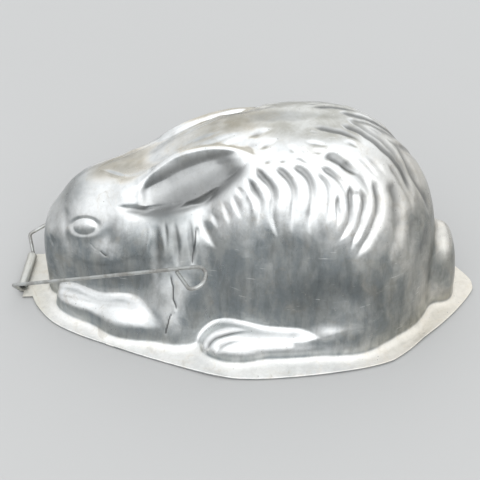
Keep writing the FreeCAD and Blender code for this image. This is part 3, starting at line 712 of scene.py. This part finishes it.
def build_roll():
    """The tab's edge, curled round the stand's wire, with its seam turned down to the rim."""
    ri, ro = 1.5, 2.4
    a0, a1 = math.radians(270), math.radians(-25)
    flat = [(-113.6, 0.0), (-114.6, 0.0)]
    prof_out, prof_in = [], []
    for x, _ in flat:
        prof_out.append((x, -0.012))
        prof_in.append((x, THK + 0.03))
    for i in range(43):
        t = i / 42
        a = a0 + (a1 - a0) * t
        wob = 0.10 * math.sin(3.1 * t + 0.4) * t
        prof_out.append((ROLL_X + (ro + wob) * math.cos(a), ROLL_Z + (ro + wob) * math.sin(a)))
        prof_in.append((ROLL_X + (ri + wob) * math.cos(a), ROLL_Z + (ri + wob) * math.sin(a)))
    prof_out, prof_in = np.array(prof_out), np.array(prof_in)
    prof_out[:, 1] = np.maximum(prof_out[:, 1], -0.012)
    n = len(prof_out)
    ny = 48
    T = np.concatenate([[0, 0], np.linspace(0, 1, n - 2)])
    verts = []
    for side in (prof_out, prof_in):
        for i in range(n):
            half_n = 13.55 - 0.9 * T[i] ** 1.6
            half_f = 13.1 - 1.0 * T[i] ** 1.2
            for j in range(ny):
                s = j / (ny - 1)
                y = -half_n + s * (half_n + half_f)
                x, z = side[i]
                z2 = z + 0.05 * math.sin(y * 0.55 + 1.1) * T[i]
                x2 = x + 0.06 * math.sin(y * 0.38) * T[i]
                verts.append((x2, y, z2))
    V = np.array(verts)
    ids = np.arange(2 * n * ny).reshape(2, n, ny)
    o, q = ids[0], ids[1]
    F = [np.stack([o[:-1, :-1].ravel(), o[1:, :-1].ravel(), o[1:, 1:].ravel(), o[:-1, 1:].ravel()], 1),
         np.stack([q[:-1, :-1].ravel(), q[:-1, 1:].ravel(), q[1:, 1:].ravel(), q[1:, :-1].ravel()], 1),
         np.stack([o[:-1, 0], q[:-1, 0], q[1:, 0], o[1:, 0]], 1),
         np.stack([o[:-1, -1], o[1:, -1], q[1:, -1], q[:-1, -1]], 1),
         np.stack([o[0, :-1], o[0, 1:], q[0, 1:], q[0, :-1]], 1),
         np.stack([o[-1, :-1], q[-1, :-1], q[-1, 1:], o[-1, 1:]], 1)]
    return V, np.vstack(F)


# ------------------------------------------------------------------ wire of the stand
def wire_path():
    """Centre line of the bent wire, from the near foot loop through the roll to the far one."""
    p1 = np.array((ROLL_X, -14.6, ROLL_Z))
    p2 = np.array((-117.7, -20.4, 10.75))
    p3 = np.array((-23.0, -55.3, 55.4))
    along_leg = (p3 - p2) / np.linalg.norm(p3 - p2)
    yv = np.array((0, -1.0, 0))
    side = yv - along_leg * (yv @ along_leg)
    side /= np.linalg.norm(side)

    def leg(u, v):
        return p3 + along_leg * u + side * v

    def arc(cu, cv, r, a, b, n):
        return [leg(cu + r * math.cos(t), cv + r * math.sin(t)) for t in np.linspace(a, b, n)]

    def fillet(prev, corner, nxt, rad, n=14):
        a = (prev - corner) / np.linalg.norm(prev - corner)
        b = (nxt - corner) / np.linalg.norm(nxt - corner)
        half = math.acos(max(-1, min(1, a @ b))) / 2
        bis = (a + b) / np.linalg.norm(a + b)
        c = corner + bis * (rad / math.sin(half))
        s, e = corner + a * (rad / math.tan(half)) - c, corner + b * (rad / math.tan(half)) - c
        w = math.acos(max(-1, min(1, (s @ e) / rad ** 2)))
        return [c + (s * math.sin((1 - t) * w) + e * math.sin(t * w)) / math.sin(w) for t in np.linspace(0, 1, n)]

    def run(a, b, n):
        return [a + (b - a) * t for t in np.linspace(0, 1, n)]

    big, small, rch = 9.0, 4.4, 8.9
    c2u, c2v = rch - small, big + 0.08
    bs = (c2u - small * math.sin(math.pi / 4), c2v + small * math.cos(math.pi / 4))
    gap = 2.15
    bl = (bs[1] - gap) / math.sin(math.pi / 4)
    be = (bs[0] - bl * math.cos(math.pi / 4), gap)
    pts = run(leg(*be), leg(*bs), 10)
    pts += arc(c2u, c2v, small, math.radians(135), 0, 26)[1:]
    pts += arc(rch - big, big, big, 0, -math.pi / 2, 26)
    leg_end = pts[-1]
    f2 = fillet(leg_end, p2, p1, 2.2)
    f1 = fillet(p2, p1, np.array((p1[0], 0, p1[2])), 2.2)
    pts += run(leg_end, f2[0], 40)[1:]
    pts += f2[1:]
    pts += run(f2[-1], f1[0], 6)[1:-1]
    pts += f1
    half = pts
    full = half + run(half[-1], half[-1] * np.array((1, -1, 1)), 14)[1:-1] + [p * np.array((1, -1, 1)) for p in reversed(half)]
    out = [full[0]]
    for p in full[1:]:
        if np.linalg.norm(p - out[-1]) > 0.02:
            out.append(p)
    return np.array(out)


def tube(path, rad, sides=22, taper_ends=True):
    """Round wire along a path, with a frame carried along it and slightly rounded cut ends."""
    t = np.gradient(path, axis=0)
    t /= np.linalg.norm(t, axis=1, keepdims=True)
    n = np.zeros_like(path)
    first = np.cross(t[0], (0, 0, 1.0))
    n[0] = first / np.linalg.norm(first)
    for i in range(1, len(path)):
        v = n[i - 1] - t[i] * (n[i - 1] @ t[i])
        n[i] = v / np.linalg.norm(v)
    b = np.cross(t, n)
    rings, radii = [], []
    for off, r in ((-0.28, 0.55), (-0.12, 0.85), (0.0, 1.0)):
        rings.append(path[0] + t[0] * off * -1 * -1)
        radii.append(rad * r)
    centres = [path[0] + t[0] * -0.28, path[0] + t[0] * -0.12] + list(path) + [path[-1] + t[-1] * 0.12, path[-1] + t[-1] * 0.28]
    rr = [rad * 0.62, rad * 0.9] + [rad] * len(path) + [rad * 0.9, rad * 0.62]
    nn = [n[0], n[0]] + list(n) + [n[-1], n[-1]]
    bb = [b[0], b[0]] + list(b) + [b[-1], b[-1]]
    V = []
    for c, r, x, y in zip(centres, rr, nn, bb):
        for k in range(sides):
            a = 2 * math.pi * k / sides
            V.append(c + r * (math.cos(a) * x + math.sin(a) * y))
    m = len(centres)
    ids = np.arange(m * sides).reshape(m, sides)
    nx = np.roll(ids, -1, 1)
    F = np.stack([ids[:-1].ravel(), nx[:-1].ravel(), nx[1:].ravel(), ids[1:].ravel()], 1)
    V.append(centres[0]); V.append(centres[-1])
    c0, c1 = m * sides, m * sides + 1
    caps = [[c0, nx[0, k], ids[0, k], ids[0, k]] for k in range(sides)]
    caps += [[c1, ids[-1, k], nx[-1, k], nx[-1, k]] for k in range(sides)]
    return np.array(V), np.vstack([F, np.array(caps)])


# ------------------------------------------------------------------ materials
class Nodes:
    """Short names for making a node material."""

    def __init__(self, name):
        self.mat = bpy.data.materials.new(name)
        self.mat.use_nodes = True
        self.t = self.mat.node_tree
        self.t.nodes.clear()
        self.out = self.t.nodes.new("ShaderNodeOutputMaterial")
        self.bsdf = self.t.nodes.new("ShaderNodeBsdfPrincipled")
        self.t.links.new(self.bsdf.outputs[0], self.out.inputs[0])
        self.co = self.t.nodes.new("ShaderNodeTexCoord").outputs["Object"]

    def put(self, sock, val):
        if hasattr(val, "is_output"):
            self.t.links.new(val, sock)
        else:
            sock.default_value = val

    def noise(self, scale, detail=3.0, rough=0.5, co=None, distort=0.0):
        n = self.t.nodes.new("ShaderNodeTexNoise")
        self.put(n.inputs["Vector"], co or self.co)
        n.inputs["Scale"].default_value = scale
        n.inputs["Detail"].default_value = detail
        n.inputs["Roughness"].default_value = rough
        n.inputs["Distortion"].default_value = distort
        return n.outputs["Fac"]

    def voronoi(self, scale, feature="F1", co=None, rnd=1.0):
        n = self.t.nodes.new("ShaderNodeTexVoronoi")
        n.feature = feature
        self.put(n.inputs["Vector"], co or self.co)
        n.inputs["Scale"].default_value = scale
        n.inputs["Randomness"].default_value = rnd
        return n.outputs["Distance"]

    def math(self, op, a, b=0.0, c=None, clamp=False):
        n = self.t.nodes.new("ShaderNodeMath")
        n.operation = op
        n.use_clamp = clamp
        self.put(n.inputs[0], a)
        self.put(n.inputs[1], b)
        if c is not None:
            self.put(n.inputs[2], c)
        return n.outputs[0]

    def ramp(self, x, lo, hi, a=0.0, b=1.0, curve="SMOOTHSTEP"):
        n = self.t.nodes.new("ShaderNodeMapRange")
        n.interpolation_type = curve
        self.put(n.inputs["Value"], x)
        n.inputs["From Min"].default_value = lo
        n.inputs["From Max"].default_value = hi
        n.inputs["To Min"].default_value = a
        n.inputs["To Max"].default_value = b
        return n.outputs["Result"]

    def mix(self, fac, a, b, kind="MIX"):
        n = self.t.nodes.new("ShaderNodeMix")
        n.data_type = "RGBA"
        n.blend_type = kind
        self.put(n.inputs["Factor"], fac)
        self.put(n.inputs[6], a)
        self.put(n.inputs[7], b)
        return n.outputs[2]

    def stretched(self, scale, turn=(0, 0, 0)):
        n = self.t.nodes.new("ShaderNodeMapping")
        self.put(n.inputs["Vector"], self.co)
        n.inputs["Scale"].default_value = scale
        n.inputs["Rotation"].default_value = turn
        return n.outputs[0]

    def xyz(self):
        n = self.t.nodes.new("ShaderNodeSeparateXYZ")
        self.put(n.inputs[0], self.co)
        return n.outputs

    def normal_z(self):
        g = self.t.nodes.new("ShaderNodeNewGeometry")
        n = self.t.nodes.new("ShaderNodeSeparateXYZ")
        self.put(n.inputs[0], g.outputs["Normal"])
        return n.outputs[2]

    def attr(self, name):
        n = self.t.nodes.new("ShaderNodeAttribute")
        n.attribute_name = name
        return n.outputs["Fac"]

    def bump(self, height, strength, distance, normal=None):
        n = self.t.nodes.new("ShaderNodeBump")
        n.inputs["Strength"].default_value = strength
        n.inputs["Distance"].default_value = distance
        self.put(n.inputs["Height"], height)
        if normal is not None:
            self.put(n.inputs["Normal"], normal)
        return n.outputs[0]


def aluminium():
    """Pressed aluminium dulled by use, with painted light: upright walls painted dark grey-blue as shade, faces that
    look up painted bright, rim creamy.
    """
    m = Nodes("pressed_aluminium_worn")
    x, y, z = m.xyz()
    nz = m.normal_z()
    cloud = m.noise(26, 4, 0.55)
    blotch = m.noise(75, 6, 0.62, distort=0.5)
    stain = m.noise(130, 5, 0.65, distort=0.8)
    fine = m.noise(620, 3, 0.6)
    streak = m.noise(60, 4, 0.6, co=m.stretched((2.2, 2.2, 0.8)))
    # painted light: faces that look up, and the upper part of the body, are painted bright, and the upright walls are
    # painted dark as shade
    up = m.ramp(nz, 0.20, 0.55)
    high = m.ramp(z, 0.045, 0.080)
    bright = m.math("MAXIMUM", up, m.math("MULTIPLY", high, 0.5))
    # patches of wear and painted light brighten or darken it further
    wear_and_painted_light = m.attr("wear_and_painted_light")
    bright = m.math("ADD", bright, m.math("MAXIMUM", wear_and_painted_light, m.math("MULTIPLY", wear_and_painted_light, 0.5)))
    bright = m.math("ADD", bright, m.ramp(cloud, 0.35, 0.65, -0.12, 0.12))
    bright = m.math("ADD", bright, m.ramp(blotch, 0.38, 0.66, -0.12, 0.20), clamp=True)
    dark = m.mix(m.ramp(streak, 0.35, 0.68), (0.295, 0.325, 0.34, 1), (0.43, 0.445, 0.44, 1))
    col = m.mix(bright, dark, (0.90, 0.905, 0.90, 1))
    # painted shade darkens the very top; the tail end is made a little darker
    crest = m.math("MULTIPLY", m.ramp(nz, 0.86, 0.97), m.ramp(z, 0.050, 0.068))
    col = m.mix(m.math("MULTIPLY", crest, m.ramp(blotch, 0.30, 0.62, 0.55, 0.95)), col, (0.52, 0.505, 0.46, 1), "MULTIPLY")
    rear = m.ramp(x, 0.045, 0.085)
    col = m.mix(m.math("MULTIPLY", rear, 0.40), col, (0.74, 0.72, 0.67, 1), "MULTIPLY")
    # negative patches darken it: tarnish and painted shade
    dull = m.math("MULTIPLY", m.math("MAXIMUM", m.math("MULTIPLY", wear_and_painted_light, -1.0), 0.0), m.ramp(blotch, 0.30, 0.60, 0.75, 1.15), clamp=True)
    col = m.mix(dull, col, (0.60, 0.605, 0.60, 1), "MULTIPLY")
    # warm tint of the rim, the rear and the nape
    rim = m.math("MULTIPLY", m.ramp(z, 0.0045, 0.0018), m.ramp(x, 0.03, 0.09, 0.35, 0.9))
    rear = m.math("MULTIPLY", m.ramp(x, 0.030, 0.085), 0.6)
    nape = m.math("MULTIPLY", m.ramp(nz, 0.80, 0.92), m.math("MULTIPLY", m.ramp(z, 0.060, 0.070), m.ramp(x, 0.022, -0.006)))
    warm = m.math("MAXIMUM", rim, m.math("MAXIMUM", rear, m.math("MULTIPLY", nape, 0.9)))
    warm = m.math("ADD", warm, m.ramp(stain, 0.48, 0.72, -0.10, 0.32), clamp=True)
    col = m.mix(warm, col, (1.0, 0.935, 0.845, 1), "MULTIPLY")
    col = m.mix(m.ramp(stain, 0.58, 0.74, 0.0, 0.35), col, (0.42, 0.41, 0.385, 1))
    tab = m.math("MULTIPLY", m.ramp(x, -0.088, -0.106), m.ramp(z, 0.0070, 0.0045))
    col = m.mix(m.math("MULTIPLY", tab, m.ramp(blotch, 0.30, 0.62, 0.6, 0.9)), col, (0.78, 0.755, 0.69, 1), "MULTIPLY")
    # fine mottling, upright streaks on the walls, and pale scratches
    mottle = m.noise(330, 6, 0.72, distort=0.4)
    col = m.mix(m.ramp(mottle, 0.42, 0.62, 0.0, 0.24), col, (0.72, 0.71, 0.68, 1), "MULTIPLY")
    drip = m.noise(300, 4, 0.62, co=m.stretched((1.0, 1.0, 0.16)))
    col = m.mix(m.math("MULTIPLY", m.ramp(drip, 0.47, 0.66, 0.0, 0.38), m.ramp(nz, 0.75, 0.35)), col, (0.66, 0.655, 0.64, 1), "MULTIPLY")
    rub = m.noise(260, 2, 0.5, co=m.stretched((0.35, 1.0, 7.0), (0.0, 0.25, 0.0)))
    rub = m.math("MULTIPLY", m.ramp(rub, 0.66, 0.74, 0.0, 0.5), m.ramp(blotch, 0.50, 0.60))
    col = m.mix(rub, col, (0.88, 0.88, 0.87, 1))
    pit = m.voronoi(260)
    col = m.mix(m.math("MULTIPLY", m.ramp(pit, 0.10, 0.03), m.ramp(cloud, 0.45, 0.6)), col, (0.33, 0.32, 0.30, 1))
    # darkening in the grooves and creases: partly dirt, partly painted shade, with the painted shade of the ear's
    # hollow and the painted shadow under the ear
    groove_dirt_and_shade = m.attr("groove_dirt_and_shade")
    col = m.mix(m.ramp(groove_dirt_and_shade, 0.08, 1.25, 0.0, 0.80), col, (0.14, 0.142, 0.14, 1))
    col = m.mix(m.ramp(m.attr("split"), 0.30, 0.85, 0.0, 0.85), col, (0.07, 0.07, 0.07, 1))
    m.put(m.bsdf.inputs["Base Color"], col)
    m.put(m.bsdf.inputs["Metallic"], m.ramp(z, 0.0045, 0.0018, 1.0, 0.40))
    rough = m.ramp(cloud, 0.3, 0.7, 0.30, 0.37)
    rough = m.math("ADD", rough, m.ramp(blotch, 0.35, 0.7, -0.03, 0.07))
    rough = m.math("ADD", rough, m.ramp(fine, 0.3, 0.7, -0.03, 0.03))
    rough = m.math("ADD", rough, m.ramp(z, 0.0045, 0.0018, 0.0, 0.22))
    m.put(m.bsdf.inputs["Roughness"], rough)
    scr = m.noise(300, 2, 0.5, co=m.stretched((1, 9, 6), (0.4, 0.3, 0.9)))
    scr2 = m.noise(240, 2, 0.5, co=m.stretched((7, 1, 9), (0.2, 0.9, 0.2)))
    h = m.math("ADD", m.math("MULTIPLY", fine, 0.4), m.math("MULTIPLY", m.ramp(scr, 0.62, 0.72), -0.35))
    h = m.math("ADD", h, m.math("MULTIPLY", m.ramp(scr2, 0.64, 0.74), -0.35))
    h = m.math("ADD", h, m.math("MULTIPLY", m.noise(170, 3, 0.55), 1.6))
    m.put(m.bsdf.inputs["Normal"], m.bump(h, 0.4, 0.00014))
    return m.mat


def wire_metal():
    m = Nodes("tinned_wire")
    blot = m.noise(160, 4, 0.6)
    fine = m.noise(900, 2, 0.5)
    col = m.mix(m.ramp(blot, 0.4, 0.65), (0.53, 0.54, 0.525, 1), (0.35, 0.34, 0.32, 1))
    m.put(m.bsdf.inputs["Base Color"], col)
    m.bsdf.inputs["Metallic"].default_value = 1.0
    m.put(m.bsdf.inputs["Roughness"], m.ramp(blot, 0.3, 0.7, 0.32, 0.5))
    m.put(m.bsdf.inputs["Normal"], m.bump(m.math("ADD", fine, m.math("MULTIPLY", blot, 1.5)), 0.3, 0.00008))
    return m.mat


def plain(name, col, rough):
    m = Nodes(name)
    v = m.noise(3, 3, 0.5)
    m.put(m.bsdf.inputs["Base Color"], m.mix(m.ramp(v, 0.3, 0.7, 0, 1), tuple(c * 0.985 for c in col[:3]) + (1,), col))
    m.bsdf.inputs["Roughness"].default_value = rough
    return m.mat


ALU = aluminium()
WIRE = wire_metal()

verts, faces, marks = build_sheet()
sheet = make_mesh("pressed_sheet", verts, faces, [ALU], marks)
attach(sheet, "mould")
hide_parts("mould_shell")

rv, rf = build_roll()
roll = make_mesh("rolled_tab", rv, rf, [ALU], {k: np.full(len(rv), {"wear_and_painted_light": -0.35, "groove_dirt_and_shade": 0.12}.get(k, 0.0)) for k in marks})
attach(roll, "mould")
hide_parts("mould_shell")

wv, wf = tube(wire_path(), 0.9)
wire = make_mesh("bent_wire", wv, wf, [WIRE])
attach(wire, "stand")
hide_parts("wire_stand")

# ------------------------------------------------------------------ floor, light, camera
me = bpy.data.meshes.new("floor")
s = 1.6
me.from_pydata([(-s, -s, -0.0004), (s, -s, -0.0004), (s, s, -0.0004), (-s, s, -0.0004)], [], [(0, 1, 2, 3)])
floor = bpy.data.objects.new("floor", me)
bpy.context.scene.collection.objects.link(floor)
me.materials.append(plain("floor_paper", (0.52, 0.515, 0.507, 1), 0.8))


def softbox(name, pos, aim, w, h, power, colour=(1, 1, 1)):
    d = bpy.data.lights.new(name, "AREA")
    d.shape = "RECTANGLE"
    d.size, d.size_y = w, h
    d.energy = power
    d.color = colour
    o = bpy.data.objects.new(name, d)
    o.location = pos
    o.rotation_mode = "QUATERNION"
    o.rotation_quaternion = (Vector(aim) - Vector(pos)).to_track_quat("-Z", "Y")
    bpy.context.scene.collection.objects.link(o)
    return o


def glow(w, h, radiance):
    """Power of a rectangular lamp of this size that looks this bright."""
    return radiance * math.pi * w * h


softbox("window", (0.1, -0.85, 0.95), (0.0, 0, 0.05), 1.1, 0.8, glow(1.1, 0.8, 0.8), (0.985, 0.99, 1.0))

# an even white room: dark at the level of the floor, brightest in front, a little less at the sides
world = bpy.data.worlds.new("room")
bpy.context.scene.world = world
world.use_nodes = True
wt = world.node_tree
bg = wt.nodes["Background"]
bg.inputs[0].default_value = (0.96, 0.985, 1.005, 1)


def wnode(op, a, b=0.0):
    n = wt.nodes.new("ShaderNodeMath")
    n.operation = op
    for sock, val in zip(n.inputs, (a, b)):
        if hasattr(val, "is_output"):
            wt.links.new(val, sock)
        else:
            sock.default_value = val
    return n.outputs[0]


def wramp(x, lo, hi, a, b):
    n = wt.nodes.new("ShaderNodeMapRange")
    n.interpolation_type = "SMOOTHSTEP"
    wt.links.new(x, n.inputs["Value"])
    for key, val in zip(("From Min", "From Max", "To Min", "To Max"), (lo, hi, a, b)):
        n.inputs[key].default_value = val
    return n.outputs["Result"]


sep = wt.nodes.new("ShaderNodeSeparateXYZ")
wt.links.new(wt.nodes.new("ShaderNodeTexCoord").outputs["Generated"], sep.inputs[0])
sky = wnode("MULTIPLY", wramp(sep.outputs[2], -0.03, 0.13, 0.0, 1.0), wramp(sep.outputs[1], 0.7, -0.5, 0.93, 1.12))
sky = wnode("MULTIPLY", sky, wramp(wnode("ABSOLUTE", sep.outputs[0]), 0.42, 0.95, 1.0, 0.62))
sky = wnode("MULTIPLY", sky, wramp(sep.outputs[2], 0.72, 0.98, 1.0, 0.78))
wt.links.new(wnode("ADD", wnode("MULTIPLY", sky, 1.32), 0.05), bg.inputs[1])
bpy.context.scene.view_settings.view_transform = "Standard"

cam_data = bpy.data.cameras.new("camera")
cam_data.lens = 72.4
cam_data.sensor_width = 36.0
cam_data.clip_start = 0.01
cam_data.clip_end = 20
cam = bpy.data.objects.new("camera", cam_data)
bpy.context.scene.collection.objects.link(cam)
cam.matrix_world = Matrix((
    (RIGHT[0], UP[0], -FWD[0], (EYE[0] + SHIFT) / 1000),
    (RIGHT[1], UP[1], -FWD[1], EYE[1] / 1000),
    (RIGHT[2], UP[2], -FWD[2], EYE[2] / 1000),
    (0, 0, 0, 1)))
bpy.context.scene.camera = cam
